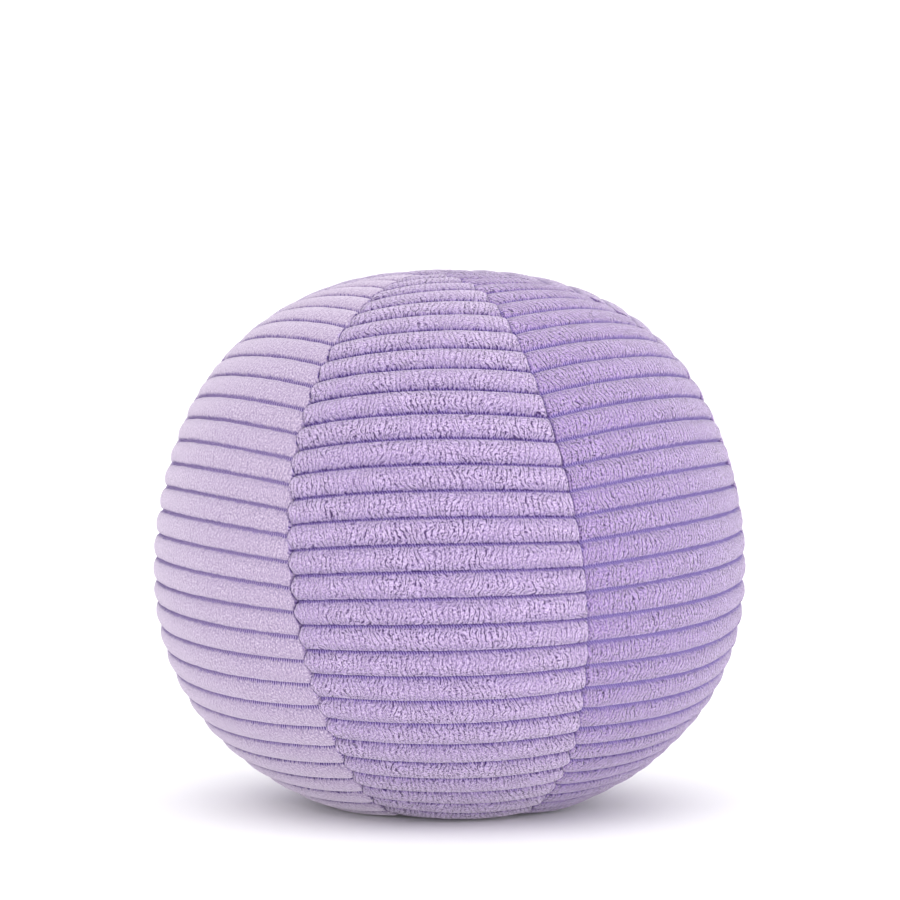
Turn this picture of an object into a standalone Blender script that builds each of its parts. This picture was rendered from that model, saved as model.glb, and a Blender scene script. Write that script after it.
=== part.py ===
"""Stuffed play ball in wide-wale corduroy plush, resting on its own weight.

Six fabric gores (melon-slice panels) are sewn edge to edge along meridians and filled with polyester fibre. Units are
metres, +Z is up, and the origin is the middle of the flat patch that the soft ball rests on. The front panel faces -Y.

How it is sewn: three gores are joined into one half and three into the other, with two short seams in each half. One
long seam then joins the halves, over the top pole and under the bottom pole. It stops at an opening in the back, where
the filling goes in, and a hand-sewn ladder stitch closes that opening.
"""

from math import asin, cos, pi, radians, sin, sqrt

import bmesh
import bpy
from mathutils import Vector

# Driving dimensions ---------------------------------------------------------------------------------------------------
BALL_RADIUS = 0.125  # half the width at the widest level, over the crests of the wales
CROWN_HEIGHT = 0.1317  # widest level to the top pole
KEEL_DEPTH = 0.1022  # widest level to where the bottom pole would be if nothing flattened it
REST_DEPTH = 0.0949  # widest level to the surface that the ball rests on
CROWN_POWER = 2.40  # superellipse exponents: 2 is a plain ellipse, more is fuller at the shoulders
KEEL_POWER = 2.08
SETTLE_BLEND = 0.003  # how softly the flat rest patch turns up into the side
REST_PATCH_RADIUS = 0.038
GIRTH_FROM_TOP = 0.2050  # from the top pole to the pattern's equator, along the cloth
LEAN = radians(4.0)  # the sewn axis leans this far to -X at the top, as the ball happens to lie

PANELS = 6
FRONT = -pi / 2  # azimuth of the front panel's middle
SKIN = 0.0030  # fabric with its pile
SEAM_GAP = 0.0014  # between the turned-in edges of two panels, where the sewing thread runs
SEAM_ALLOWANCE = 0.0080  # turned-in edge, below the skin
ALLOWANCE_FULL_FROM = 0.045  # the allowances are trimmed to nothing between these two radii, near both poles
ALLOWANCE_NONE_BELOW = 0.012
FOLD_WIDTH = 0.0036  # how far from the seam the skin starts to turn in
TIP_RADIUS = 0.0030  # the gores' blunt tips, round each pole
FIT_GAP = 0.0006  # filling to fabric

THREAD_RADIUS = 0.0004
THREAD_DEPTH = 0.0025  # stitch line, below the crests
CLOSING_LENGTH = 0.090  # the filling opening
CLOSING_LATITUDE = radians(-4)  # its middle

ACROSS = 6  # facets across a panel, between its folds
ALONG = 16  # facets along a panel, between the last 30 mm at each pole
COLOURS = {
    "front": (0.42, 0.30, 0.66),
    "thread": (0.27, 0.18, 0.52),
    "filling": (0.86, 0.86, 0.84),
}


# The profile: a half outline in the plane of the Z axis --------------------------------------------------------------
def raw_profile(t):
    """t from 0, the bottom pole, to 2, the top pole; 1 is the widest level."""
    if t < 1:
        a = t * pi / 2
        r = BALL_RADIUS * sin(a) ** (2 / KEEL_POWER)
        z = REST_DEPTH - KEEL_DEPTH * cos(a) ** (2 / KEEL_POWER)
    else:
        a = (t - 1) * pi / 2
        r = BALL_RADIUS * max(cos(a), 0.0) ** (2 / CROWN_POWER)
        z = REST_DEPTH + CROWN_HEIGHT * sin(a) ** (2 / CROWN_POWER)
    return r, z


def settled(z):
    """The height after the weight has settled the ball onto z = 0."""
    k = SETTLE_BLEND
    if z <= -k:
        return 0.0
    return z if z >= k else (z + k) ** 2 / (4 * k)


def profile_table(steps=1600):
    """[(arc length, radius, height)], from the bottom pole to the top pole."""
    rows = []
    for i in range(steps + 1):
        r, z = raw_profile(2 * i / steps)
        z = settled(z)
        s = rows[-1][0] + sqrt((r - rows[-1][1]) ** 2 + (z - rows[-1][2]) ** 2) if rows else 0.0
        rows.append((s, r, z))
    return rows


TABLE = profile_table()
ARC = TABLE[-1][0]


def at(s):
    """(radius, height) at an arc length."""
    low, high = 0, len(TABLE) - 1
    while high - low > 1:
        middle = (low + high) // 2
        if TABLE[middle][0] <= s:
            low = middle
        else:
            high = middle
    a, b = TABLE[low], TABLE[high]
    f = (s - a[0]) / (b[0] - a[0]) if b[0] > a[0] else 0.0
    return a[1] + f * (b[1] - a[1]), a[2] + f * (b[2] - a[2])


def normal_at(s, reach=0.004):
    """(radial, vertical) parts of the outward normal."""
    a, b = at(max(s - reach, 0.0)), at(min(s + reach, ARC))
    dr, dz = b[0] - a[0], b[1] - a[1]
    length = sqrt(dr * dr + dz * dz)
    return dz / length, -dr / length


def arc_where(test, start, step):
    """The first arc length from start, in steps, where test(radius, height) is true."""
    s = start
    while not test(*at(s)):
        s += step
    return s


REST_EDGE = arc_where(lambda r, z: r >= REST_PATCH_RADIUS, 0.0, 1e-5)
BELOW_GIRTH = ARC - GIRTH_FROM_TOP


# The sewn pattern: latitude and azimuth on the ball, whose own axis leans a little against the vertical ----------------
def direction_of(latitude, azimuth):
    d = Vector((cos(latitude) * cos(azimuth), cos(latitude) * sin(azimuth), sin(latitude)))
    c, s = cos(LEAN), -sin(LEAN)
    return Vector((c * d.x + s * d.z, d.y, -s * d.x + c * d.z))


def place(latitude, azimuth, depth=0.0):
    """The point of the settled ball at this latitude and azimuth of the sewn pattern, at a depth below the crests."""
    d = direction_of(latitude, azimuth)
    up = asin(max(-1.0, min(1.0, d.z)))
    turn = Vector((d.x, d.y, 0.0))
    turn = turn.normalized() if turn.length > 1e-9 else Vector((1.0, 0.0, 0.0))
    s = ARC - GIRTH_FROM_TOP * (1 - up / (pi / 2)) if up > 0 else BELOW_GIRTH * (1 + up / (pi / 2))
    r, z = at(s)
    if s <= REST_EDGE:
        return Vector((r * turn.x, r * turn.y, z + depth))  # the rest patch is exactly flat
    nr, nz = normal_at(s)
    return Vector(((r - depth * nr) * turn.x, (r - depth * nr) * turn.y, z - depth * nz))


def span(latitude, azimuth):
    """Metres along the level, per radian of azimuth."""
    return (place(latitude, azimuth + 0.01) - place(latitude, azimuth - 0.01)).length / 0.02


def lateral(latitude, seam, off):
    """The azimuth at this distance from a seam, along the level."""
    return seam + off / span(latitude, seam)


def from_pole(latitude):
    """Arc length from the nearer pole of the sewn pattern."""
    return (GIRTH_FROM_TOP if latitude > 0 else BELOW_GIRTH) * (1 - abs(latitude) / (pi / 2))


def latitude_at(arc, top):
    """The latitude at this arc length from the top or the bottom pole."""
    return (pi / 2) * (1 - arc / GIRTH_FROM_TOP) if top else -(pi / 2) * (1 - arc / BELOW_GIRTH)


LOWEST, HIGHEST = latitude_at(0.0295, False), latitude_at(0.0295, True)
STATIONS = (
    [latitude_at(TIP_RADIUS, False), latitude_at(0.015, False)]
    + [LOWEST + (HIGHEST - LOWEST) * i / ALONG for i in range(ALONG + 1)]
    + [latitude_at(0.015, True), latitude_at(TIP_RADIUS, True)]
)


def allowance(latitude):
    """Depth of the turned-in edge below the skin."""
    f = (from_pole(latitude) - ALLOWANCE_NONE_BELOW) / (ALLOWANCE_FULL_FROM - ALLOWANCE_NONE_BELOW)
    f = min(max(f, 0.0), 1.0)
    return 0.0004 + (SEAM_ALLOWANCE - 0.0004) * f * f * (3 - 2 * f)


def narrowing(latitude):
    """How much of the fold's width fits at this level: 1 on the body, less near the tips."""
    room = from_pole(latitude) * sin(pi / PANELS) - SEAM_GAP / 2
    return min(1.0, 0.62 * room / (SKIN + 0.0006))


def bridge_rings(bm, rings, closed=True):
    for low, high in zip(rings, rings[1:]):
        n = len(low)
        for i in range(n if closed else n - 1):
            j = (i + 1) % n
            bm.faces.new((low[i], low[j], high[j], high[i]))


def finished(name, bm, material, angle=40):
    bmesh.ops.triangulate(bm, faces=bm.faces, quad_method="FIXED", ngon_method="EAR_CLIP")
    bmesh.ops.recalc_face_normals(bm, faces=bm.faces)
    mesh = bpy.data.meshes.new(name)
    bm.to_mesh(mesh)
    bm.free()
    mesh.shade_smooth()
    mesh.set_sharp_from_angle(angle=radians(angle))
    mesh.materials.append(material)
    obj = bpy.data.objects.new(name, mesh)
    bpy.context.scene.collection.objects.link(obj)
    obj.parent = ball
    return obj


def fabric(name, colour, roughness):
    mat = bpy.data.materials.new(name)
    mat.use_nodes = True
    bsdf = mat.node_tree.nodes["Principled BSDF"]
    bsdf.inputs["Base Color"].default_value = (*colour, 1.0)
    bsdf.inputs["Roughness"].default_value = roughness
    bsdf.inputs["Metallic"].default_value = 0.0
    mat.diffuse_color = (*colour, 1.0)
    return mat


# The panels ------------------------------------------------------------------------------------------------------------
def panel_section(middle, latitude):
    """One closed loop round the panel at a level: the skin's outside, one turned-in edge, the inside, the other edge."""
    shrink = narrowing(latitude)
    gap = SEAM_GAP / 2
    fold = gap + (FOLD_WIDTH - gap) * shrink
    turn = gap + 0.0007 * shrink
    inner = gap + SKIN * shrink
    low = SKIN + allowance(latitude)
    left, right = middle - pi / PANELS, middle + pi / PANELS

    def near(seam, side, off, depth):
        return place(latitude, lateral(latitude, seam, side * off), depth)

    def row(depth, off):
        a, b = lateral(latitude, left, off), lateral(latitude, right, -off)
        return [place(latitude, a + (b - a) * i / ACROSS, depth) for i in range(ACROSS + 1)]

    loop = [near(left, 1, gap, SKIN), near(left, 1, turn, 0.0011)]
    loop += row(0.0, fold)
    loop += [near(right, -1, turn, 0.0011), near(right, -1, gap, SKIN)]
    loop += [near(right, -1, gap, low), near(right, -1, inner, low)]
    loop += reversed(row(SKIN, inner))
    loop += [near(left, 1, inner, low), near(left, 1, gap, low)]
    return loop


def make_panel(name, middle, material):
    bm = bmesh.new()
    rings = [[bm.verts.new(p) for p in panel_section(middle, t)] for t in STATIONS]
    bridge_rings(bm, rings)
    bm.faces.new(rings[0])
    bm.faces.new(rings[-1])
    return finished(name, bm, material)


# The filling -----------------------------------------------------------------------------------------------------------
def filling_ring(latitude):
    """A ring with a notch at each seam, clear of the turned-in edges."""
    skin = SKIN + FIT_GAP
    deep = SKIN + allowance(latitude) + FIT_GAP
    side = SEAM_GAP / 2 + SKIN * narrowing(latitude) + FIT_GAP
    points = []
    for k in range(PANELS):
        seam = FRONT + (2 * k - 1) * pi / PANELS
        a, b = lateral(latitude, seam, side), lateral(latitude, seam + 2 * pi / PANELS, -side)
        points += [place(latitude, seam, deep), place(latitude, a, deep)]
        points += [place(latitude, a + (b - a) * i / ACROSS, skin) for i in range(ACROSS + 1)]
        points.append(place(latitude, b, deep))
    return points


def make_filling(name, material):
    bm = bmesh.new()
    levels = [t for t in STATIONS if from_pole(t) > 0.012]
    rings = [[bm.verts.new(p) for p in filling_ring(t)] for t in levels]
    bridge_rings(bm, rings)
    for ring, latitude in ((rings[0], -pi / 2), (rings[-1], pi / 2)):
        pole = bm.verts.new(place(latitude, 0.0, SKIN + 0.0016))
        for i in range(len(ring)):
            bm.faces.new((ring[i], ring[(i + 1) % len(ring)], pole))
    return finished(name, bm, material)


# The threads -----------------------------------------------------------------------------------------------------------
def seam_route(azimuth, start, end):
    """Points along a seam at the stitch line's depth, between two latitudes."""
    length = abs(end - start) * (GIRTH_FROM_TOP + BELOW_GIRTH) / pi
    count = max(4, int(length / 0.019))
    return [place(start + (end - start) * i / count, azimuth, THREAD_DEPTH) for i in range(count + 1)]


def make_thread(name, route, material):
    curve = bpy.data.curves.new(name, "CURVE")
    curve.dimensions = "3D"
    curve.bevel_depth = THREAD_RADIUS
    curve.bevel_resolution = 2
    curve.use_fill_caps = True
    spline = curve.splines.new("POLY")
    spline.points.add(len(route) - 1)
    for point, place in zip(spline.points, route):
        point.co = (*place, 1.0)
    curve.materials.append(material)
    obj = bpy.data.objects.new(name, curve)
    bpy.context.scene.collection.objects.link(obj)
    obj.parent = ball
    return obj


# Building --------------------------------------------------------------------------------------------------------------
for old in list(bpy.data.objects):
    bpy.data.objects.remove(old)

ball = bpy.data.objects.new("ball", None)
bpy.context.scene.collection.objects.link(ball)

STEP = 2 * pi / PANELS
panel_names = (
    "panel_front",
    "panel_front_right",
    "panel_back_right",
    "panel_back",
    "panel_back_left",
    "panel_front_left",
)
for index, panel_name in enumerate(panel_names):
    tone = 1.0 + 0.05 * cos(index * STEP + 2.6)
    cloth = fabric(panel_name + "_corduroy", tuple(c * tone for c in COLOURS["front"]), 0.9)
    make_panel(panel_name, FRONT + index * STEP, cloth)

make_filling("fibre_filling", fabric("polyester_fibre", COLOURS["filling"], 1.0))

# The two short seams of each half end short of both poles. The long seam passes over and under them.
short_start, short_end = latitude_at(0.006, False), latitude_at(0.006, True)
for thread_name, seam in (
    ("thread_seam_front_right", FRONT + STEP / 2),
    ("thread_seam_right_side", FRONT + 3 * STEP / 2),
    ("thread_seam_back_left", FRONT + 7 * STEP / 2),
    ("thread_seam_left_side", FRONT + 9 * STEP / 2),
):
    yarn = fabric(thread_name + "_yarn", COLOURS["thread"], 0.7)
    make_thread(thread_name, seam_route(seam, short_start, short_end), yarn)

back_seam, front_seam = FRONT + 5 * STEP / 2, FRONT - STEP / 2
per_metre = pi / (GIRTH_FROM_TOP + BELOW_GIRTH)
opening_low = CLOSING_LATITUDE - CLOSING_LENGTH / 2 * per_metre
opening_high = CLOSING_LATITUDE + CLOSING_LENGTH / 2 * per_metre
top, bottom = latitude_at(0.004, True), latitude_at(0.004, False)
over_top = seam_route(back_seam, opening_high + 0.001 * per_metre, top)
down_front = seam_route(front_seam, top, bottom)
up_back = seam_route(back_seam, bottom, opening_low - 0.001 * per_metre)
make_thread(
    "thread_joining_seam", over_top + down_front + up_back, fabric("joining_yarn", COLOURS["thread"], 0.7)
)
make_thread(
    "thread_closing_stitch",
    seam_route(back_seam, opening_low, opening_high),
    fabric("closing_yarn", COLOURS["thread"], 0.7),
)
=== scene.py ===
from math import cos, pi, radians, sin

import bpy
import numpy as np
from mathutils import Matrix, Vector


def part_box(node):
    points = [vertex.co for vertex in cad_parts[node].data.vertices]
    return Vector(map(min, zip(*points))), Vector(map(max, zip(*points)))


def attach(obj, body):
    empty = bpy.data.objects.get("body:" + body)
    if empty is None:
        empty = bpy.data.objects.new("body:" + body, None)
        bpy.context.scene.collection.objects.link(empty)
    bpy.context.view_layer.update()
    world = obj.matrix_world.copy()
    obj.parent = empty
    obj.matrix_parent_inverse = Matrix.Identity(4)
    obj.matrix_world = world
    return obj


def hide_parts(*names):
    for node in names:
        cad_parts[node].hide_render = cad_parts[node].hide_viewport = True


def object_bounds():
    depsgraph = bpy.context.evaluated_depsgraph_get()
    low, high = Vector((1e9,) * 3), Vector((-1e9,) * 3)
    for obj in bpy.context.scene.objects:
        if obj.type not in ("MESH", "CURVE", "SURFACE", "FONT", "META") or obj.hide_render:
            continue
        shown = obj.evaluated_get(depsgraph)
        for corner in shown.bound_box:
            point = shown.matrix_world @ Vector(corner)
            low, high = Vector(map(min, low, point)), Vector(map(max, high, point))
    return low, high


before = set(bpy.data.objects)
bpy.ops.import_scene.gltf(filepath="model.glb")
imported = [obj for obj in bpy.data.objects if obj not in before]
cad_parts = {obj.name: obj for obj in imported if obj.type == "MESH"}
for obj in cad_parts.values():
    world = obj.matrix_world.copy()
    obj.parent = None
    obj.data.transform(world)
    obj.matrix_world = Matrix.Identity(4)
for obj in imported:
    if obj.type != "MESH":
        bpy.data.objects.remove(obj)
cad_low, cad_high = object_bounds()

# The looks of a stuffed play ball in wide-wale corduroy plush.
#
# Every gore is one closed shell: a finely ribbed outside, seam allowances turned in along both sides, and a plain
# inside. The ribs (wales) run across the gore, from seam to seam. A wale number V grows from the bottom tip to the top
# tip, and V is a whole number in the middle of each groove. The mesh's rows follow V, so each groove is as narrow and
# as deep as on the cloth.

# Sizes, all scaled from the CAD box --------------------------------------------------------------------------------------
K = (cad_high.y - cad_low.y) / 0.250
MM = 0.001 * K
BALL_RADIUS = 125.0 * MM
CROWN_HEIGHT, KEEL_DEPTH = 131.7 * MM, 102.2 * MM
REST_DEPTH = cad_high.z - 131.7 * MM
CROWN_POWER, KEEL_POWER = 2.40, 2.08
SETTLE_BLEND = 3.0 * MM
GIRTH_FROM_TOP = 205.0 * MM
LEAN = radians(4.0)
PANELS = 6
STEP = 2 * pi / PANELS
FRONT = -pi / 2
PITCH = 11.31 * MM  # from groove to groove
PANEL_NAMES = (
    "panel_front",
    "panel_front_right",
    "panel_back_right",
    "panel_back",
    "panel_back_left",
    "panel_front_left",
)

COLUMNS = 186  # across a gore's outside
CELL = (0.0, 0.04, 0.075, 0.12, 0.19, 0.28, 0.385, 0.5, 0.615, 0.72, 0.81, 0.88, 0.925, 0.96)  # rows within a wale
WALE_ARC = 1.45 * MM  # from a wale's crest down to where its side meets the groove
GROOVE = 0.95 * MM  # the groove's own depth
GROOVE_HALF = (0.30 * MM, 1.00 * MM)  # half widths of its floor and of its mouth
SEAM_DIP, SEAM_DIP_REACH = 0.30 * MM, 2.6 * MM
SEAM_COVER = 0.72 * MM  # the pile closes over a seam more than over a groove
CORNER = 1.0 * MM  # how round a wale's ends are
ZIGZAG = 0.85 * MM
TUFT_LIFT = (0.09, 0.08, 0.08, 0.09, 0.07, 0.05)  # in mm, gore by gore: some lie with the pile brushed flat
CLOTH = 3.4 * MM  # from the crests to the back of the cloth, without the pillow


def smooth(x, low, high):
    t = np.clip((x - low) / (high - low), 0.0, 1.0)
    return t * t * (3 - 2 * t)


# The ball's surface, the same as in the CAD ------------------------------------------------------------------------------
def profile_table(steps=6000):
    t = np.linspace(0.0, 2.0, steps + 1)
    low, high = np.clip(t, 0, 1) * pi / 2, np.clip(t - 1, 0, 1) * pi / 2
    below = t < 1
    r = np.where(
        below,
        BALL_RADIUS * np.sin(low) ** (2 / KEEL_POWER),
        BALL_RADIUS * np.maximum(np.cos(high), 0) ** (2 / CROWN_POWER),
    )
    z = np.where(
        below,
        REST_DEPTH - KEEL_DEPTH * np.maximum(np.cos(low), 0) ** (2 / KEEL_POWER),
        REST_DEPTH + CROWN_HEIGHT * np.sin(high) ** (2 / CROWN_POWER),
    )
    k = SETTLE_BLEND
    z = np.where(z <= -k, 0.0, np.where(z >= k, z, (z + k) ** 2 / (4 * k)))
    s = np.concatenate([[0.0], np.cumsum(np.hypot(np.diff(r), np.diff(z)))])
    return s, r, z


TABLE_S, TABLE_R, TABLE_Z = profile_table()
ARC = TABLE_S[-1]
BELOW_GIRTH = ARC - GIRTH_FROM_TOP


def at(s):
    return np.interp(s, TABLE_S, TABLE_R), np.interp(s, TABLE_S, TABLE_Z)


def normal_at(s, reach=4.0 * MM):
    r0, z0 = at(np.maximum(s - reach, 0.0))
    r1, z1 = at(np.minimum(s + reach, ARC))
    length = np.hypot(r1 - r0, z1 - z0)
    return (z1 - z0) / length, (r0 - r1) / length


def surface(lat, az, lift=0.0):
    """Points at this latitude and azimuth of the sewn pattern, raised along the surface's normal."""
    x, y, z = np.cos(lat) * np.cos(az), np.cos(lat) * np.sin(az), np.sin(lat)
    c, s = cos(LEAN), -sin(LEAN)
    x, z = c * x + s * z, -s * x + c * z
    up = np.arcsin(np.clip(z, -1, 1))
    flat = np.hypot(x, y)
    flat = np.where(flat < 1e-9, 1.0, flat)
    tx, ty = x / flat, y / flat
    arc = np.where(up > 0, ARC - GIRTH_FROM_TOP * (1 - up / (pi / 2)), BELOW_GIRTH * (1 + up / (pi / 2)))
    r, height = at(arc)
    nr, nz = normal_at(arc)
    r = r + lift * nr
    return np.stack([r * tx, r * ty, height + lift * nz], -1)


def metres_per_radian(lat, az):
    d = surface(lat, az + 0.005) - surface(lat, az - 0.005)
    return np.sqrt((d**2).sum(-1)) / 0.01


def from_pole(lat):
    return np.where(lat > 0, GIRTH_FROM_TOP, BELOW_GIRTH) * (1 - np.abs(lat) / (pi / 2))


def latitude_at(arc, top):
    return (pi / 2) * (1 - arc / GIRTH_FROM_TOP) if top else -(pi / 2) * (1 - arc / BELOW_GIRTH)


# Noise -------------------------------------------------------------------------------------------------------------------
def noise(x, y, seed):
    """Smooth seeded noise from -1 to 1, one cell per unit."""
    table = np.random.RandomState(seed).rand(256, 256) * 2 - 1
    xi, yi = np.floor(x), np.floor(y)
    fx, fy = x - xi, y - yi
    fx, fy = fx * fx * (3 - 2 * fx), fy * fy * (3 - 2 * fy)
    i, j = xi.astype(int) % 256, yi.astype(int) % 256
    i1, j1 = (i + 1) % 256, (j + 1) % 256
    low = table[i, j] * (1 - fx) + table[i1, j] * fx
    high = table[i, j1] * (1 - fx) + table[i1, j1] * fx
    return low * (1 - fy) + high * fy


# How the seams wander, and how the wales lie in each gore -------------------------------------------------------------------
def seam_bend(j, lat):
    """Seam j lies to the right of gore j. This is how far it strays from its meridian, in radians of azimuth."""
    f = np.clip(lat, -1.45, 1.45)
    if j == 5:
        c = (0.026, -0.096, 0.026, 0.184, -0.071, -0.071, 0.027)
        return sum(a * f**n for n, a in enumerate(c))
    if j == 0:
        c = (-0.015, -0.023, -0.091, -0.046, 0.180, 0.036, -0.066)
        return sum(a * f**n for n, a in enumerate(c))
    a, b = np.random.RandomState(40 + j).rand(2) * 2 * pi
    return 0.022 * np.sin(1.9 * f + a) + 0.014 * np.sin(3.7 * f + b)


# phase, then how the wales tilt, arch and drift in the three gores in front
DRIFT = {
    5: (0.473, 0.529, 0.676, 0.308, -0.272, -0.802, 0.560, 0.169, -0.595, -0.082, 0.072, 0.084),
    0: (0.654, 0.177, 0.520, 0.114, -0.210, 0.122, 0.367, 0.238, -0.046, -0.349, -0.574, -0.071),
    1: (0.955, 0.652, 0.097, -0.455, 0.320, 0.971, 0.082, 0.240, -0.092, -0.157, 0.272, -0.014),
}
for k in (2, 3, 4):
    rng = np.random.RandomState(70 + k)
    DRIFT[k] = (rng.rand(), 0.4 * rng.rand(), 0.7 * rng.rand(), *(0.3 * rng.randn(3)), 0.3, *(0.2 * rng.randn(5)))


def wale_number(k, lat, a):
    """V at a latitude and an azimuth from gore k's middle."""
    v = np.arctan2(np.sin(lat), np.cos(lat) * np.cos(0.65 * a)) / (pi / 2)
    v = np.where(v > 0, v * GIRTH_FROM_TOP, v * BELOW_GIRTH) / PITCH
    f = np.clip(lat, -1.1, 1.25)
    terms = (1, f, a, f**2, f**3, a * f, a**2, a**2 * f, a * f**2, a**3, a * f**3, a**2 * f**2)
    return v + sum(c * term for c, term in zip(DRIFT[k], terms))


CREASES = {5: (0.0, 0.15), 0: (0.42, 0.20)}


def crest_wave(v):
    return np.sin(pi * v) ** 2


def seam_azimuth(j, lat):
    """Where seam j runs. A plump wale end pushes it a little towards the groove that it faces."""
    base = FRONT + (j + 0.5) * STEP + seam_bend(j % 6, lat)
    k0, k1 = j % 6, (j + 1) % 6
    left = wale_number(k0, lat, base - (FRONT + j * STEP))
    right = wale_number(k1, lat, base - (FRONT + (j + 1) * STEP))
    push = ZIGZAG * (crest_wave(left) - crest_wave(right)) * smooth(from_pole(lat), 8 * MM, 30 * MM)
    return base, push / np.maximum(metres_per_radian(lat, base), 2 * MM)


def creased(j, lat):
    """Where seam j pulls the pile apart into a deeper crease, from 0 to 1. The crease there is both cut deeper and
    darkened with painted shade.
    """
    if j % 6 in CREASES:
        middle, reach = CREASES[j % 6]
        return np.exp(-(((lat - middle) / reach) ** 2))
    return smooth(noise(2.6 * lat + 40, 0 * lat, 700 + j % 6), 0.0, 0.5)


def allowance(lat):
    return (0.5 + 7.5 * smooth(from_pole(lat), 12 * MM, 45 * MM)) * MM


# A gore ------------------------------------------------------------------------------------------------------------------
def zipped(a, b):
    """Triangles between two chains of vertex indices that start and end side by side."""
    ta, tb = np.linspace(0, 1, len(a)), np.linspace(0, 1, len(b))
    faces, i, j = [], 0, 0
    while i < len(a) - 1 or j < len(b) - 1:
        if j == len(b) - 1 or (i < len(a) - 1 and ta[i + 1] <= tb[j + 1]):
            faces.append((a[i], a[i + 1], b[j]))
            i += 1
        else:
            faces.append((a[i], b[j + 1], b[j]))
            j += 1
    return faces


def quads(index):
    a, b, c, d = index[:-1, :-1], index[:-1, 1:], index[1:, 1:], index[1:, :-1]
    return np.stack([a.ravel(), b.ravel(), c.ravel(), d.ravel()], 1)


class Gore:
    """Rows, columns and fields of gore k."""

    def __init__(self, k):
        self.k, self.middle = k, FRONT + k * STEP
        low, high = latitude_at(0.5 * MM, False), latitude_at(0.5 * MM, True)
        self.samples = np.linspace(low, high, 1500)
        # columns crowd a little towards the seams
        s = np.linspace(0, 1, COLUMNS)
        self.across = s + 0.055 * np.sin(2 * pi * s) * -1
        lat = self.samples[:, None]
        left, right = self.sides(lat)
        az = left + (right - left) * self.across
        v = wale_number(k, lat, az - self.middle)
        mid = COLUMNS // 2
        vc = v[:, mid]
        cells = [n + f for n in range(int(vc[0]) - 2, int(vc[-1]) + 2) for f in CELL]
        rows = np.array([vc[0]] + [x for x in cells if vc[0] + 0.03 < x < vc[-1] - 0.03] + [vc[-1]])
        wb, wt = 1 - smooth(rows, vc[0], vc[0] + 3), smooth(rows, vc[-1] - 3, vc[-1])
        self.lat = np.empty((len(rows), COLUMNS))
        for i in range(COLUMNS):
            target = rows + (v[0, i] - vc[0]) * wb + (v[-1, i] - vc[-1]) * wt
            self.lat[:, i] = np.interp(target, v[:, i], self.samples)
        self.fields(self.lat, np.broadcast_to(self.across, self.lat.shape))

    def sides(self, lat):
        left, _ = seam_azimuth(self.k - 1, lat)
        right, _ = seam_azimuth(self.k, lat)
        return left, right

    def fields(self, lat, s):
        left, lpush = seam_azimuth(self.k - 1, lat)
        right, rpush = seam_azimuth(self.k, lat)
        az = left + (right - left) * s
        span = metres_per_radian(lat, az)
        self.width = (right - left) * span
        v = wale_number(self.k, lat, az - self.middle)
        e = 0.002
        vy = (wale_number(self.k, lat + e, az - self.middle) - wale_number(self.k, lat - e, az - self.middle)) / (2 * e)
        step = surface(lat + e, az) - surface(lat - e, az)
        vy = vy / (np.sqrt((step**2).sum(-1)) / (2 * e))
        vx = (wale_number(self.k, lat, az - self.middle + e) - wale_number(self.k, lat, az - self.middle - e)) / (2 * e)
        vx = vx / span
        pitch = 1 / np.hypot(vx, vy)
        side = np.minimum(s, 1 - s)
        gap = 0.04 * MM
        # the seam's push fades out into the gore
        reach = 7 * MM
        fade_l = 1 - smooth(s * self.width, 0, reach)
        fade_r = 1 - smooth((1 - s) * self.width, 0, reach)
        az = az + lpush * fade_l + rpush * fade_r
        az = az + np.where(s < 0.5, gap, -gap) / np.maximum(span, 3 * MM) * (1 - smooth(side, 0, 0.02))
        self.s, self.az, self.v, self.span = s, az, v, span
        self.edge = side * self.width
        self.crease = np.where(s < 0.5, creased(self.k - 1, lat), creased(self.k, lat))
        self.groove = np.abs(v - np.round(v)) * pitch
        self.x = (az - self.middle) * span
        self.y = v * PITCH

    def pillow(self, s, width):
        """How far the filling pushes the cloth out between the seams."""
        bulge = np.maximum(4 * s * (1 - s), 0) ** 0.8
        return (-1.0 + 1.35 * bulge) * MM * smooth(width, 5 * MM, 60 * MM)

    def lift(self):
        k, x, y = self.k, self.x, self.y
        gx, gy = self.edge + SEAM_COVER, self.groove
        wale = np.floor(self.v).astype(int)
        tall = 1 + 0.16 * (np.random.RandomState(500 + k).rand(80) - 0.5)[(wale + 40) % 80]
        corner = np.minimum(CORNER, 0.4 * np.maximum(self.width, 1e-5))
        near = (gx < corner) & (gy < corner)
        rounded = corner - np.hypot(corner - gx, corner - gy)
        d = np.where(near, rounded, np.minimum(gx, gy))
        d = d + 0.16 * MM * noise(x / (5 * MM), y / (3 * MM), 300 + k)
        self.d = np.clip(d, 0, 6 * MM)
        side = np.clip(gy / (0.5 * PITCH), 0, 1)
        h = -WALE_ARC * tall * (1 - side) ** 2.2
        h = h - SEAM_DIP * (1 - np.clip(self.edge / SEAM_DIP_REACH, 0, 1)) ** 2
        h = h - (0.12 + 0.45 * self.crease) * MM * np.exp(-((self.edge / (0.4 * MM)) ** 2))
        # the widest level sags out a little
        h = h + 1.0 * MM * np.exp(-(((surface(self.lat, self.az)[..., 2] - REST_DEPTH - 13 * MM) / (22 * MM)) ** 2))
        h = h - GROOVE * (1 - smooth(self.d, *GROOVE_HALF))
        h = h + self.pillow(self.s, self.width)
        # soft lumps of the filling, felt through the cloth
        h = h + 0.5 * MM * noise(x / (34 * MM) + 5, y / (30 * MM), 600 + k) * smooth(self.width, 20 * MM, 80 * MM)
        # a dimple where the tips meet
        h = h - 1.6 * MM * np.exp(-((from_pole(self.lat) / (7 * MM)) ** 2))
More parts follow.
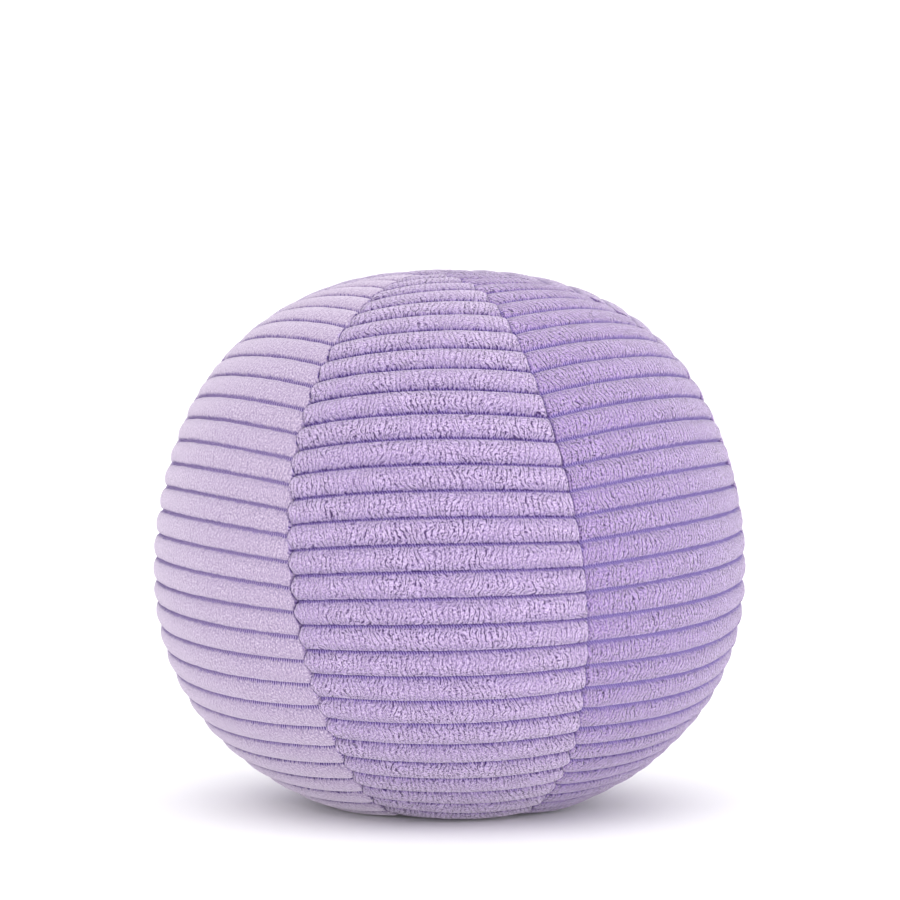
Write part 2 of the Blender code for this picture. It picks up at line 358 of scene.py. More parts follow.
        # tufts of pile, long across the wale
        wx = 0.45 * noise(x / (3 * MM), y / (3 * MM), 20 + k)
        tuft = noise(x / (1.15 * MM) + wx, y / (2.9 * MM), 100 + k) + 0.5 * noise(x / (0.8 * MM) + wx, y / (1.7 * MM), 200 + k)
        self.tuft = tuft
        h = h + TUFT_LIFT[k] * MM * tuft * smooth(self.d, 0.8 * MM, 2.0 * MM)
        return h


def mesh_from(name, points, faces4, faces3):
    """A mesh from quads and triangles, with its faces turned out."""
    mesh = bpy.data.meshes.new(name)
    total = [tuple(map(int, f)) for f in faces4] + [tuple(map(int, f)) for f in faces3]
    mesh.from_pydata(points.tolist(), [], total)
    mesh.validate()
    mesh.update()
    return mesh


def volume(points, faces4, faces3):
    tri = np.concatenate([faces4[:, [0, 1, 2]], faces4[:, [0, 2, 3]], faces3])
    return np.linalg.det(points[tri]).sum()


def grounded(points):
    """Cloth that the floor presses flat."""
    floor, soft = 0.25 * MM, 0.8 * MM
    z = points[:, 2]
    near = z < floor + soft
    q = (z - (floor - soft)) / (2 * soft)
    z = np.where(near, floor + soft * np.clip(q, 0, 1) ** 2, z)
    points[:, 2] = z
    return points


def unwrap(mesh, gore, n_outer, outer_shape, inner_shape):
    """A UV layer with even texels: the outside as two strips side by side, and the inside in a narrow band."""
    rows, cols = outer_shape
    layer = mesh.uv_layers.new(name="OFBake")
    loops = np.empty(len(mesh.loops), np.int32)
    mesh.loops.foreach_get("vertex_index", loops)
    n_faces = len(mesh.polygons)
    starts, sizes = np.empty(n_faces, np.int32), np.empty(n_faces, np.int32)
    mesh.polygons.foreach_get("loop_start", starts)
    mesh.polygons.foreach_get("loop_total", sizes)
    face_of = np.repeat(np.arange(n_faces), sizes)
    smallest = np.minimum.reduceat(loops, starts)
    largest = np.maximum.reduceat(loops, starts)
    # along the gore by arc length, across it by width
    along = np.cumsum(np.concatenate([[0.0], np.maximum(np.abs(np.diff(gore.lat[:, COLUMNS // 2])), 1e-9)]))
    along = along / along[-1]
    half = int(np.searchsorted(along, 0.5))
    # the strips' widths follow the gore's own, so that the texels stay even
    wide = np.median(gore.width, axis=1)
    wide = wide / wide.max()
    col = (np.arange(cols) - 2) / (cols - 5)
    across = np.concatenate([[-0.03, -0.015], gore.across, [1.015, 1.03]])
    u0 = 0.5 + (across[None, :] - 0.5) * (0.15 + 0.85 * wide[:, None])
    v0 = np.repeat(along[:, None], cols, 1)
    uv = np.zeros((len(loops), 2))
    outer = largest[face_of] < n_outer
    row = np.clip(smallest[face_of], 0, n_outer - 1) // cols
    index = np.clip(loops, 0, n_outer - 1)
    uu, vv = u0.ravel()[index], v0.ravel()[index]
    upper = row >= half
    split = along[half]
    strip_u = np.where(upper, 0.4825 + 0.46 * (0.03 + 0.94 * uu), 0.0025 + 0.46 * (0.03 + 0.94 * uu))
    strip_v = np.where(upper, (vv - split) / (1 - split), vv / split)
    uv[:, 0], uv[:, 1] = strip_u, 0.004 + 0.992 * strip_v
    # the inside and the stitching between it and the outside
    ir, ic = inner_shape
    inner_index = np.clip(loops - n_outer, 0, ir * ic - 1)
    iu = (inner_index % ic) / (ic - 1)
    iv = (inner_index // ic) / (ir - 1)
    from_outer = loops < n_outer
    ou = np.where(index % cols < cols // 2, -0.05, 1.05)
    ov = (index // cols) / (rows - 1)
    iu, iv = np.where(from_outer, ou, iu), np.where(from_outer, ov, iv)
    uv[:, 0] = np.where(outer, uv[:, 0], 0.972 + 0.022 * iu)
    uv[:, 1] = np.where(outer, uv[:, 1], 0.004 + 0.992 * iv)
    layer.data.foreach_set("uv", uv.astype(np.float32).ravel())


def make_gore(k):
    gore = Gore(k)
    lift = gore.lift()
    outer = surface(gore.lat, gore.az, lift)
    rows, cols = lift.shape
    # the allowances, turned in along both sides
    drop = allowance(gore.lat[:, [0, -1]])
    deep = []
    for share in (0.45, 1.0):
        pair = []
        for side, i in ((0, 0), (1, -1)):
            base = np.minimum(lift[:, i], -WALE_ARC)
            pair.append(surface(gore.lat[:, i], gore.az[:, i], base - share * drop[:, side]))
        deep.append(pair)
    left = np.stack([deep[1][0], deep[0][0]], 1)
    right = np.stack([deep[0][1], deep[1][1]], 1)
    grid = np.concatenate([left, outer, right], 1)
    # the plain inside
    every = max(2, (rows - 1) // 70)
    picked = np.unique(np.concatenate([np.arange(0, rows, every), [rows - 1]]))
    s_in = np.linspace(0, 1, 25)
    lat_in = np.stack([np.interp(s_in, gore.across, gore.lat[j]) for j in picked])
    l_az, _ = seam_azimuth(k - 1, lat_in)
    r_az, _ = seam_azimuth(k, lat_in)
    span = np.maximum(metres_per_radian(lat_in, 0.5 * (l_az + r_az)), 1e-4)
    wide = (r_az - l_az) * span
    inset = np.minimum(1.3 * MM, 0.3 * wide) / span
    az_in = l_az + inset + (r_az - l_az - 2 * inset) * s_in
    depth = CLOTH + 0.6 * MM - gore.pillow(s_in, wide)
    edge_in = np.minimum(s_in, 1 - s_in) * wide
    depth = depth + allowance(lat_in) * 0.96 * (1 - smooth(edge_in, 0.2 * MM, 3.0 * MM))
    inner = surface(lat_in, az_in, -depth)
    points = np.concatenate([grid.reshape(-1, 3), inner.reshape(-1, 3)])
    n_outer = grid.shape[0] * grid.shape[1]
    o = np.arange(n_outer).reshape(grid.shape[:2])
    i = n_outer + np.arange(inner.shape[0] * inner.shape[1]).reshape(inner.shape[:2])
    f4 = np.concatenate([quads(o), quads(i)[:, ::-1]])
    f3 = []
    f3 += [f[::-1] for f in zipped(list(o[:, 0]), list(i[:, 0]))]
    f3 += zipped(list(o[:, -1]), list(i[:, -1]))
    f3 += zipped(list(o[0]), list(i[0]))
    f3 += [f[::-1] for f in zipped(list(o[-1]), list(i[-1]))]
    f3 = np.array(f3)
    if volume(points, f4, f3) < 0:
        f4, f3 = f4[:, ::-1], f3[:, ::-1]
    points = grounded(points)
    name = PANEL_NAMES[k] + "_corduroy"
    mesh = mesh_from(name, points, f4, f3)

    def attribute(key, kind, outside, inside):
        data = mesh.attributes.new(key, kind, "POINT")
        pad = np.repeat(outside[:, :1], 2, 1), np.repeat(outside[:, -1:], 2, 1)
        full = np.concatenate([pad[0], outside, pad[1]], 1)
        full = full.reshape(n_outer, *outside.shape[2:])
        tail = np.broadcast_to(inside, (len(points) - n_outer, *outside.shape[2:]))
        values = np.concatenate([full, tail]).astype(np.float32)
        data.data.foreach_set("vector" if kind == "FLOAT_VECTOR" else "value", values.ravel())

    shift = 0.4 * k
    cloth = np.stack([gore.x + shift, gore.y, 0 * gore.x], -1)
    inner_cloth = np.stack([(az_in - gore.middle) * span + shift, lat_in * 0.13, 0 * lat_in], -1).reshape(-1, 3)
    attribute("cloth", "FLOAT_VECTOR", cloth, inner_cloth)
    attribute("cell", "FLOAT", gore.d / MM, 0.0)
    attribute("edge", "FLOAT", np.minimum(gore.edge / MM, 20), 0.0)
    attribute("above", "FLOAT", np.sin(2 * pi * gore.v), 0.0)
    # low: the ball's underside, where the material darkens the grooves' whole ground with painted shade
    attribute("low", "FLOAT", smooth(-gore.lat, 0.25, 0.80), 0.0)
    attribute("rib", "FLOAT", gore.groove / MM, 3.0)
    attribute("crease", "FLOAT", gore.crease, 0.0)
    attribute("back", "FLOAT", np.zeros_like(gore.x), 1.0)
    unwrap(mesh, gore, n_outer, grid.shape[:2], inner.shape[:2])
    mesh.shade_smooth()
    obj = bpy.data.objects.new(name, mesh)
    bpy.context.scene.collection.objects.link(obj)
    return obj


# Materials ---------------------------------------------------------------------------------------------------------------
class Nodes:
    """A short way to write a node tree."""

    def __init__(self, name):
        self.mat = bpy.data.materials.new(name)
        self.mat.use_nodes = True
        self.tree = self.mat.node_tree
        self.tree.nodes.clear()

    def put(self, kind, props=(), **inputs):
        node = self.tree.nodes.new(kind)
        for key, value in dict(props).items():
            setattr(node, key, value)
        for key, value in inputs.items():
            slot = node.inputs[int(key[1:])] if key[0] == "i" and key[1:].isdigit() else node.inputs[key.replace("_", " ")]
            if isinstance(value, bpy.types.NodeSocket):
                self.tree.links.new(value, slot)
            else:
                slot.default_value = value
        return node

    def math(self, op, *values, clamp=False):
        node = self.tree.nodes.new("ShaderNodeMath")
        node.operation, node.use_clamp = op, clamp
        for i, v in enumerate(values):
            if isinstance(v, bpy.types.NodeSocket):
                self.tree.links.new(v, node.inputs[i])
            else:
                node.inputs[i].default_value = v
        return node.outputs[0]

    def attribute(self, name, vector=False):
        node = self.tree.nodes.new("ShaderNodeAttribute")
        node.attribute_name = name
        return node.outputs["Vector" if vector else "Fac"]

    def mix(self, factor, a, b, blend="MIX"):
        node = self.tree.nodes.new("ShaderNodeMix")
        node.data_type, node.blend_type = "RGBA", blend
        for i, v in ((0, factor), (6, a), (7, b)):
            if isinstance(v, bpy.types.NodeSocket):
                self.tree.links.new(v, node.inputs[i])
            else:
                node.inputs[i].default_value = v if i == 0 else (*v, 1.0)
        return node.outputs[2]

    def range(self, value, a, b, c=0.0, d=1.0, smooth=True):
        node = self.tree.nodes.new("ShaderNodeMapRange")
        node.interpolation_type = "SMOOTHSTEP" if smooth else "LINEAR"
        node.clamp = True
        self.tree.links.new(value, node.inputs[0])
        for i, v in zip((1, 2, 3, 4), (a, b, c, d)):
            node.inputs[i].default_value = v
        return node.outputs[0]


def linear(r, g, b):
    return tuple(((c / 255 + 0.055) / 1.055) ** 2.4 if c > 10 else c / 255 / 12.92 for c in (r, g, b))


def vector(n, source, scale, offset=(0.0, 0.0, 0.0)):
    node = n.tree.nodes.new("ShaderNodeVectorMath")
    node.operation = "MULTIPLY_ADD"
    n.tree.links.new(source, node.inputs[0])
    node.inputs[1].default_value, node.inputs[2].default_value = scale, offset
    return node.outputs[0]


def noise_texture(n, source, detail=2.0, rough=0.5, output="Fac"):
    node = n.tree.nodes.new("ShaderNodeTexNoise")
    node.noise_dimensions = "2D"
    n.tree.links.new(source, node.inputs["Vector"])
    node.inputs["Scale"].default_value = 1.0
    node.inputs["Detail"].default_value, node.inputs["Roughness"].default_value = detail, rough
    return node.outputs[output]


def corduroy(name, tone, contrast, speckle, even, ground_half, core_share, ground, shade):
    """tone: crest colour, painted lighter or darker gore by gore for how that gore's pile catches the light. contrast:
    how open the tufts stand, and so how strong the painted shade in their gaps, the painted highlight on their tips and
    their bump
    are. speckle: how much single fibre ends show. even: how regular the columns of tufts are. ground_half: half of
    the knitted ground's visible width, in mm. core_share: how dark the painted shadow on the upper side of a groove is.
    ground: the knit's two colours, which hold painted groove shade as well as the knit's own colour. shade: how much
    darker a wale's lower and upper flanks are."""
    n = Nodes(name)
    cloth = n.attribute("cloth", True)
    cell, edge, rib, above = n.attribute("cell"), n.attribute("edge"), n.attribute("rib"), n.attribute("above")
    mm = 1 / MM
    column = 2.1
    split = n.put("ShaderNodeSeparateXYZ", i0=cloth)
    x0 = n.math("MULTIPLY", split.outputs[0], mm)
    y0 = n.math("MULTIPLY", split.outputs[1], mm)

    def signed(value, amount):
        return n.math("MULTIPLY", n.math("SUBTRACT", value, 0.5), amount)

    # columns of tufts stand side by side along the wale; they lean and bow, patch by patch, and wander
    lean = noise_texture(n, vector(n, cloth, (0.055 * mm, 0.09 * mm, 0)), 1.0)
    bow = noise_texture(n, vector(n, cloth, (0.045 * mm, 0.09 * mm, 0), (8.1, 3.3, 0)), 1.0)
    within = n.math("SUBTRACT", n.math("FRACT", n.math("DIVIDE", y0, 11.31)), 0.5)
    x = n.math("ADD", x0, n.math("MULTIPLY", signed(lean, 19.0), within))
    x = n.math("ADD", x, n.math("MULTIPLY", signed(bow, 26.0), n.math("MULTIPLY", within, within)))
    drift = noise_texture(n, vector(n, cloth, (0.12 * mm, 0.12 * mm, 0)), 0.0, 0.5, "Color")
    wander = noise_texture(n, vector(n, cloth, (0.50 * mm, 0.42 * mm, 0), (2.7, 6.1, 0)), 0.0, 0.5, "Color")
    dsplit = n.put("ShaderNodeSeparateColor", i0=drift)
    wsplit = n.put("ShaderNodeSeparateColor", i0=wander)
    x = n.math("ADD", x, signed(dsplit.outputs[0], 2.4))
    x = n.math("ADD", x, signed(wsplit.outputs[0], 1.15 * (1 - 0.35 * even)))
    y = n.math("ADD", y0, signed(dsplit.outputs[1], 2.0))
    comb = n.math("PINGPONG", n.math("DIVIDE", x, column), 0.5)
    place = n.put("ShaderNodeCombineXYZ", i0=n.math("DIVIDE", x, column), i1=n.math("DIVIDE", y, 0.95)).outputs[0]
    broken = noise_texture(n, vector(n, place, (1.1, 1.0, 0), (0.7, 4.9, 0)), 0.0)
    parting = n.math("MULTIPLY", n.range(comb, 0.18, 0.04), n.range(broken, 0.38, 0.58, 0.04, 1.0))
    # painted shade in the short gaps between the tufts' tips, and a painted highlight on the tips themselves
    comma = noise_texture(n, vector(n, place, (4.2, 0.80, 0), (7.3, 2.1, 0)), 0.0)
    specks = n.range(comma, 0.42, 0.26)
    gap = n.math("MAXIMUM", parting, n.math("MULTIPLY", specks, 0.68))
    glint = noise_texture(n, vector(n, place, (4.3, 1.2, 0), (1.9, 8.4, 0)), 0.0)
    crown = n.math("ADD", n.math("MULTIPLY", n.range(comb, 0.10, 0.36), 0.35), n.range(glint, 0.48, 0.74))
    fibre = noise_texture(n, vector(n, cloth, (1.9 * mm, 1.2 * mm, 0), (4.4, 9.2, 0)), 1.0, 0.6)
    patch = noise_texture(n, vector(n, cloth, (0.045 * mm, 0.07 * mm, 0), (3.1, 1.7, 0)), 2.0, 0.5)
    strength = n.math("MULTIPLY", n.range(patch, 0.30, 0.66, 0.60, 1.15), contrast)
    gap_here = n.math("MULTIPLY", gap, strength)
    # colours: light is a painted highlight for the tufts' tips, dark a painted shade for the gaps between them
    r, g, b = tone
    light = linear(min(r + 44, 255), min(g + 46, 255), min(b + 36, 255))
    body, dark = linear(r, g, b), linear(r * 0.42, g * 0.32, b * 0.50)
    # painted highlight: the pile turns towards the light colour on the tufts' tips
    spread = n.math("ADD", n.math("MULTIPLY", crown, n.math("ADD", strength, 0.10)), signed(fibre, speckle), clamp=True)
    pile = n.mix(spread, body, light)
    faint = n.math("MULTIPLY", n.range(fibre, 0.46, 0.30), 0.10 * speckle)
    # painted shade: the gaps between the tufts turn towards the dark colour
    pile = n.mix(n.math("MULTIPLY", n.math("MAXIMUM", gap_here, faint), 0.97, clamp=True), pile, dark)
    # the knitted ground in the grooves: its hatch colours hold painted groove shade as well as the knit's own colour
    gx = n.math("MULTIPLY", x0, 2 * pi / 1.15)
    gy = n.math("MULTIPLY", y0, 2 * pi / 1.9)
    hatch = n.range(n.math("SINE", n.math("ADD", gx, gy)), -0.4, 0.5)
    # painted shadow: a dotted dark line along each groove's upper side, where the wale above shades it; towards the
    # bottom of the ball the painted shade covers the whole ground
    low = n.attribute("low")
    upper = n.math("MAXIMUM", n.range(above, -0.16, 0.22), low)
    dots = noise_texture(n, vector(n, cloth, (1.15 * mm, 0.7 * mm, 0), (1.3, 5.5, 0)), 0.0)
    knit = n.mix(n.math("MULTIPLY", hatch, 0.9), linear(*ground[0]), linear(*ground[1]))
    groove_shadow = n.math("MULTIPLY", upper, n.range(dots, 0.38, 0.60, 1.0, 0.12))
    knit = n.mix(n.math("MULTIPLY", groove_shadow, n.math("MAXIMUM", core_share, n.math("MULTIPLY", low, 0.95))), knit, linear(60, 40, 98))
    teeth = noise_texture(n, vector(n, cloth, (1.05 * mm, 0.40 * mm, 0)), 1.0)
    ragged = n.math("ADD", signed(teeth, 1.2), n.math("MULTIPLY", parting, -0.30 * contrast))
    mouth = n.math("ADD", cell, ragged)
    covered = n.range(mouth, ground_half - 0.30, ground_half + 0.30)
    colour = n.mix(covered, knit, pile)
    # a wale's flanks stand in shade
    flank = n.range(rib, 4.8, ground_half)
    lower = n.range(above, -0.3, 0.3, shade[1], shade[0])
    dim = n.math("SUBTRACT", 1.0, n.math("MULTIPLY", flank, lower))
    tinted = n.math("ADD", n.math("MULTIPLY", dim, 0.75), 0.25)
    colour = n.mix(1.0, colour, n.put("ShaderNodeCombineColor", i0=dim, i1=dim, i2=tinted).outputs[0], "MULTIPLY")
    # painted shade darkens the seam's crease, strongly only in places
    seam = n.math("ADD", edge, n.math("MULTIPLY", ragged, 0.35))
    seam_shade = n.math("ADD", n.math("MULTIPLY", n.attribute("crease"), 0.60), 0.04)
    colour = n.mix(n.math("MULTIPLY", n.range(seam, 0.10, 0.55, 1.0, 0.0), seam_shade), colour, linear(74, 50, 104))
    colour = n.mix(n.attribute("back"), colour, linear(176, 160, 200))
    bsdf = n.put("ShaderNodeBsdfPrincipled", Base_Color=colour)
    bsdf.inputs["Roughness"].default_value = 0.92
    bsdf.inputs["Specular IOR Level"].default_value = 0.08
    n.tree.links.new(n.math("ADD", n.math("MULTIPLY", covered, 0.75), 0.08), bsdf.inputs["Sheen Weight"])
    bsdf.inputs["Sheen Roughness"].default_value = 0.45
    bsdf.inputs["Sheen Tint"].default_value = (*linear(244, 234, 248), 1)
    height = n.math("SUBTRACT", n.math("ADD", n.math("MULTIPLY", crown, 0.45), n.math("MULTIPLY", fibre, 0.60)), n.math("MULTIPLY", gap, min(1.0, 0.3 + contrast)))
    height = n.math("MULTIPLY", height, n.range(mouth, 0.6, 1.4, 0.25, 1.0))
    height = n.math("ADD", height, n.math("MULTIPLY", n.math("MULTIPLY", hatch, 0.5), n.math("SUBTRACT", 1.0, covered)))
    bump = n.put("ShaderNodeBump", Height=height)
    bump.inputs["Strength"].default_value = 0.25 + 0.55 * contrast
    bump.inputs["Distance"].default_value = 0.45 * MM
    n.tree.links.new(bump.outputs[0], bsdf.inputs["Normal"])
    out = n.put("ShaderNodeOutputMaterial")
    n.tree.links.new(bsdf.outputs[0], out.inputs[0])
    return n.mat


# crest colour, openness, evenness, ground and shade: the pile lies another way in each gore. Each gore's crest colour
# is a lighter or darker copy of the same cloth: painted light for how its pile catches the lamps. The knits' colours
# below hold painted groove shade as well as their own.
KNIT_IN_SHADE = ((92, 68, 132), (172, 152, 208))
PALE_KNIT_IN_SHADE = ((100, 80, 148), (182, 164, 218))
GREY_KNIT_IN_SHADE = ((76, 56, 116), (190, 172, 212))
NAP_AND_PAINTED_LIGHT = (
    ((150, 129, 172), 1.05, 2.4, 0.0, 0.62, 0.92, KNIT_IN_SHADE, (0.20, 0.20)),
    ((132, 107, 162), 1.30, 3.0, 0.8, 0.72, 0.45, PALE_KNIT_IN_SHADE, (0.06, 0.24)),
    ((137, 116, 162), 1.00, 2.4, 0.3, 0.66, 0.60, PALE_KNIT_IN_SHADE, (0.12, 0.20)),
    ((143, 123, 165), 1.05, 2.4, 0.1, 0.62, 0.75, KNIT_IN_SHADE, (0.18, 0.20)),
    ((149, 130, 170), 0.70, 2.4, 0.4, 0.72, 0.55, PALE_KNIT_IN_SHADE, (0.10, 0.18)),
    ((153, 137, 166), 0.34, 2.8, 0.2, 0.80, 0.35, GREY_KNIT_IN_SHADE, (0.0, 0.10)),
)

for k in range(PANELS):
    piece = make_gore(k)
    piece.data.materials.append(corduroy("corduroy_" + PANEL_NAMES[k][6:], *NAP_AND_PAINTED_LIGHT[k]))
    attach(piece, "root")
    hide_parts(PANEL_NAMES[k])


# The filling ---------------------------------------------------------------------------------------------------------------
def grid_object(name, points, closed_u, caps, material):
    """A mesh from rows of points. caps: the points that close the first and the last row."""
    rows, cols = points.shape[:2]
    index = np.arange(rows * cols).reshape(rows, cols)
    wrap = np.concatenate([index, index[:, :1]], 1) if closed_u else index
    f4, f3, flat = quads(wrap), [], points.reshape(-1, 3)
    for row, cap, turn in ((0, caps[0], 1), (-1, caps[1], -1)):
        tip = len(flat)
        flat = np.concatenate([flat, [cap]])
        ring = wrap[row]
        f3 += [(ring[i + 1], ring[i], tip)[::turn] for i in range(len(ring) - 1)]
    f3 = np.array(f3)
    if volume(flat, f4, f3) < 0:
        f4, f3 = f4[:, ::-1], f3[:, ::-1]
    mesh = mesh_from(name, flat, f4, f3)
    mesh.shade_smooth()
    mesh.materials.append(material)
    obj = bpy.data.objects.new(name, mesh)
    bpy.context.scene.collection.objects.link(obj)
    return obj


def fibre_material():
    n = Nodes("polyester_fibre")
    where = n.put("ShaderNodeTexCoord").outputs["Object"]
    wool = n.tree.nodes.new("ShaderNodeTexNoise")
    n.tree.links.new(where, wool.inputs["Vector"])
    wool.inputs["Scale"].default_value, wool.inputs["Detail"].default_value = 180.0, 5.0
    wool.inputs["Distortion"].default_value = 2.5
    colour = n.mix(wool.outputs["Fac"], linear(205, 204, 200), linear(250, 249, 246))
    bsdf = n.put("ShaderNodeBsdfPrincipled", Base_Color=colour)
    bsdf.inputs["Roughness"].default_value = 1.0
    bsdf.inputs["Sheen Weight"].default_value = 0.3
    bump = n.put("ShaderNodeBump", Height=wool.outputs["Fac"])
    bump.inputs["Distance"].default_value = 0.001
    n.tree.links.new(bump.outputs[0], bsdf.inputs["Normal"])
    out = n.put("ShaderNodeOutputMaterial")
    n.tree.links.new(bsdf.outputs[0], out.inputs[0])
    return n.mat


def make_filling():
    lat = np.linspace(latitude_at(13 * MM, False), latitude_at(13 * MM, True), 150)[:, None]
    pieces, share = [], np.concatenate([np.linspace(0, 0.05, 7), np.linspace(0.08, 0.92, 22), np.linspace(0.95, 1, 7)[:-1]])
    for k in range(PANELS):
        left, _ = seam_azimuth(k - 1, lat)
        right, _ = seam_azimuth(k, lat)
        az = left + (right - left) * share
        wide = (right - left) * metres_per_radian(lat, az)
        edge = np.minimum(share, 1 - share) * wide
        notch = (allowance(lat) + 1.8 * MM) * (1 - smooth(edge, 3.2 * MM, 6.5 * MM))
        lumps = 0.9 * MM * (noise(az * 9 + 3, lat * 9, 900 + k) * 0.6 + noise(az * 22, lat * 22, 950 + k) * 0.4)
        bulge = np.maximum(4 * share * (1 - share), 0) ** 0.8
        lumps = lumps * smooth(edge, 4 * MM, 14 * MM)
        pieces.append(surface(lat + 0 * az, az, -(CLOTH + 3.7 * MM) + 1.0 * MM * bulge - notch + lumps))
    points = np.concatenate(pieces, 1)
    points[..., 2] = np.maximum(points[..., 2], 6.0 * MM)
    caps = [surface(np.array(s * pi / 2), np.array(0.0), -7.0 * MM) for s in (-1, 1)]
    caps[0][2] = 6.0 * MM
    obj = grid_object("fibre_filling_wool", points, True, caps, fibre_material())
    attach(obj, "root")
    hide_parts("fibre_filling")


# The threads ---------------------------------------------------------------------------------------------------------------
def thread_material():
    n = Nodes("sewing_thread")
    where = n.put("ShaderNodeTexCoord").outputs["Object"]
    spun = n.tree.nodes.new("ShaderNodeTexNoise")
    n.tree.links.new(where, spun.inputs["Vector"])
    spun.inputs["Scale"].default_value, spun.inputs["Detail"].default_value = 2600.0, 3.0
    colour = n.mix(spun.outputs["Fac"], linear(84, 62, 122), linear(128, 104, 168))
    bsdf = n.put("ShaderNodeBsdfPrincipled", Base_Color=colour)
    bsdf.inputs["Roughness"].default_value = 0.7
    bsdf.inputs["Sheen Weight"].default_value = 0.2
    out = n.put("ShaderNodeOutputMaterial")
    n.tree.links.new(bsdf.outputs[0], out.inputs[0])
    return n.mat


def resampled(points, step):
    d = np.concatenate([[0], np.cumsum(np.sqrt((np.diff(points, axis=0) ** 2).sum(1)))])
    t = np.linspace(0, d[-1], max(8, int(d[-1] / step)))
    return np.stack([np.interp(t, d, points[:, i]) for i in range(3)], 1), t


def frames(path):
    tangent = np.gradient(path, axis=0)
    tangent /= np.linalg.norm(tangent, axis=1)[:, None]
    out = path - np.array([0, 0, REST_DEPTH])
    out -= (out * tangent).sum(1)[:, None] * tangent
    out /= np.linalg.norm(out, axis=1)[:, None]
    return tangent, out, np.cross(tangent, out)


def make_thread(name, path, strand=0.22 * MM, twist=2.4 * MM, sides=6):
    """Two plies wound round each other along a path."""
    path, t = resampled(path, 0.35 * MM)
    tangent, out, across = frames(path)
    points, f4, f3 = [], [], []
    for ply in (0, 1):
        turn = 2 * pi * t / twist + pi * ply
        centre = path + strand * 0.85 * (np.cos(turn)[:, None] * out + np.sin(turn)[:, None] * across)
        tg, o, a = frames(centre)
        first = sum(len(p) for p in points)
        angle = np.arange(sides) * 2 * pi / sides
        ring = centre[:, None] + strand * (np.cos(angle)[None, :, None] * o[:, None] + np.sin(angle)[None, :, None] * a[:, None])
        points.append(ring.reshape(-1, 3))
        index = first + np.arange(len(centre) * sides).reshape(len(centre), sides)
        body = quads(np.concatenate([index, index[:, :1]], 1))
        ends = [[index[0, 0], index[0, i], index[0, i + 1]] for i in range(1, sides - 1)]
        ends += [[index[-1, 0], index[-1, i + 1], index[-1, i]] for i in range(1, sides - 1)]
        f4.append(body)
        f3 += ends
    points, f4, f3 = np.concatenate(points), np.concatenate(f4), np.array(f3)
    f3 = f3[:, ::-1]
    if volume(points, f4, f3) < 0:
        f4, f3 = f4[:, ::-1], f3[:, ::-1]
    points[:, 2] = np.maximum(points[:, 2], 0.3 * MM)
    mesh = mesh_from(name + "_yarn", points, f4, f3)
    mesh.shade_smooth()
    mesh.materials.append(yarn)
    obj = bpy.data.objects.new(name + "_yarn", mesh)
    bpy.context.scene.collection.objects.link(obj)
    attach(obj, "root")
    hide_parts(name)


def seam_path(j, start, end, depth=3.9, stitch=3.2 * MM):
    """Along seam j at the stitch line: the thread dips at each needle hole."""
    lat = np.linspace(start, end, 1400)
    base, push = seam_azimuth(j, lat)
    run = (GIRTH_FROM_TOP + BELOW_GIRTH) / pi * np.abs(lat - start)
    dip = 0.28 * MM * np.cos(2 * pi * run / stitch)
    away = smooth(from_pole(lat), 2 * MM, 20 * MM)
    return surface(lat, base + push, -(2.0 * MM + (depth - 2.0) * MM * away) + dip)


yarn = thread_material()
low_end, high_end = latitude_at(5 * MM, False), latitude_at(5 * MM, True)
make_filling()
for thread, j in (
    ("thread_seam_front_right", 0),
    ("thread_seam_right_side", 1),
    ("thread_seam_back_left", 3),
    ("thread_seam_left_side", 4),
):
    make_thread(thread, seam_path(j, low_end, high_end))

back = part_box("thread_closing_stitch")
open_low, open_high = back[0].z, back[1].z


def back_latitude(height):
    lat = np.linspace(-1.2, 1.2, 2000)
    base, _ = seam_azimuth(2, lat)
    return float(np.interp(height, surface(lat, base)[:, 2], lat))


open_low, open_high = back_latitude(open_low), back_latitude(open_high)
top, bottom = latitude_at(3 * MM, True), latitude_at(3 * MM, False)
make_thread(
    "thread_joining_seam",
    np.concatenate([seam_path(2, open_high, top), seam_path(5, top, bottom), seam_path(2, bottom, open_low)]),
)


def ladder_path():
    """A ladder stitch: along one fold, across the crease, along the other fold."""
    rung = 4.2 * MM
    per_metre = pi / (GIRTH_FROM_TOP + BELOW_GIRTH)
    count = int((open_high - open_low) / per_metre / rung)
    t = np.linspace(0, count, count * 24)
    phase = t % 2
    side = np.where(phase < 1, 1, -1) * np.ones_like(t)
    # square wave with soft corners
    side = np.tanh(6 * np.sin(pi * (t + 0.0)))
    lat = open_low + (t + 0.0) / count * (open_high - open_low)
    base, push = seam_azimuth(2, lat)
    az = base + push + side * 1.5 * MM / metres_per_radian(lat, base)
    lift = -(1.75 + 1.3 * np.abs(side) ** 3) * MM
    return surface(lat, az, lift)


make_thread("thread_closing_stitch", ladder_path(), strand=0.26 * MM)

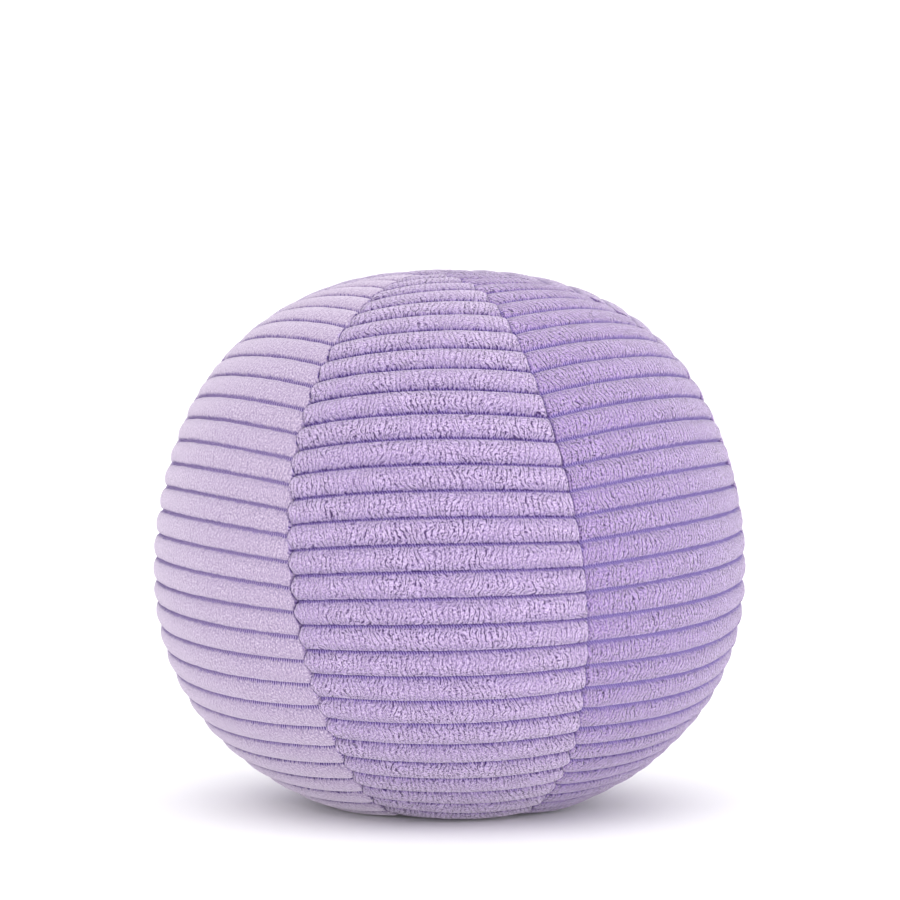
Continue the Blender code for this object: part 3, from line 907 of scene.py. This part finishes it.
# Floor, light and camera ---------------------------------------------------------------------------------------------------
def make_floor():
    half = 40.0
    mesh = bpy.data.meshes.new("floor")
    mesh.from_pydata([(-half, -half, 0), (half, -half, 0), (half, half, 0), (-half, half, 0)], [], [(0, 1, 2, 3)])
    obj = bpy.data.objects.new("floor", mesh)
    bpy.context.scene.collection.objects.link(obj)
    n = Nodes("floor_white")
    bsdf = n.put("ShaderNodeBsdfPrincipled", Roughness=0.9)
    bsdf.inputs["Base Color"].default_value = (0.93, 0.93, 0.93, 1)
    bsdf.inputs["Specular IOR Level"].default_value = 0.0
    out = n.put("ShaderNodeOutputMaterial")
    n.tree.links.new(bsdf.outputs[0], out.inputs[0])
    mesh.materials.append(n.mat)


make_floor()
world = bpy.data.worlds.new("studio")
bpy.context.scene.world = world
world.use_nodes = True
world.node_tree.nodes["Background"].inputs[0].default_value = (1, 1, 1, 1)
world.node_tree.nodes["Background"].inputs[1].default_value = 1.45


def area_light(name, place, aim, size, power):
    data = bpy.data.lights.new(name, "AREA")
    data.shape, data.size, data.energy = "DISK", size, power
    obj = bpy.data.objects.new(name, data)
    obj.location = place
    obj.rotation_mode = "QUATERNION"
    obj.rotation_quaternion = (Vector(aim) - Vector(place)).to_track_quat("-Z", "Y")
    bpy.context.scene.collection.objects.link(obj)


area_light("key", (-0.6, -2.0, 1.9), (0, 0, 0.1), 1.6, 4)
area_light("fill", (0.5, -2.4, 0.16), (0, 0, 0.02), 1.0, 33)
area_light("side", (2.2, -0.2, 0.6), (0, 0, 0.1), 1.2, 9)

VIEW_TURN, VIEW_RISE, VIEW_DISTANCE = radians(2.33), radians(6.8), 24 * BALL_RADIUS
centre = Vector((0, 0, REST_DEPTH))
away = Vector((sin(VIEW_TURN) * cos(VIEW_RISE), -cos(VIEW_TURN) * cos(VIEW_RISE), sin(VIEW_RISE)))
camera_data = bpy.data.cameras.new("camera")
camera_data.lens, camera_data.sensor_width = 283.0, 36.0
camera_data.dof.use_dof = False
camera = bpy.data.objects.new("camera", camera_data)
camera.location = centre + away * VIEW_DISTANCE
camera.rotation_mode = "QUATERNION"
aim = centre + Vector((0, 0, 55.9 * MM))
camera.rotation_quaternion = (aim - camera.location).to_track_quat("-Z", "Y")
bpy.context.scene.collection.objects.link(camera)
bpy.context.scene.camera = camera
bpy.context.scene.view_settings.view_transform = "Standard"
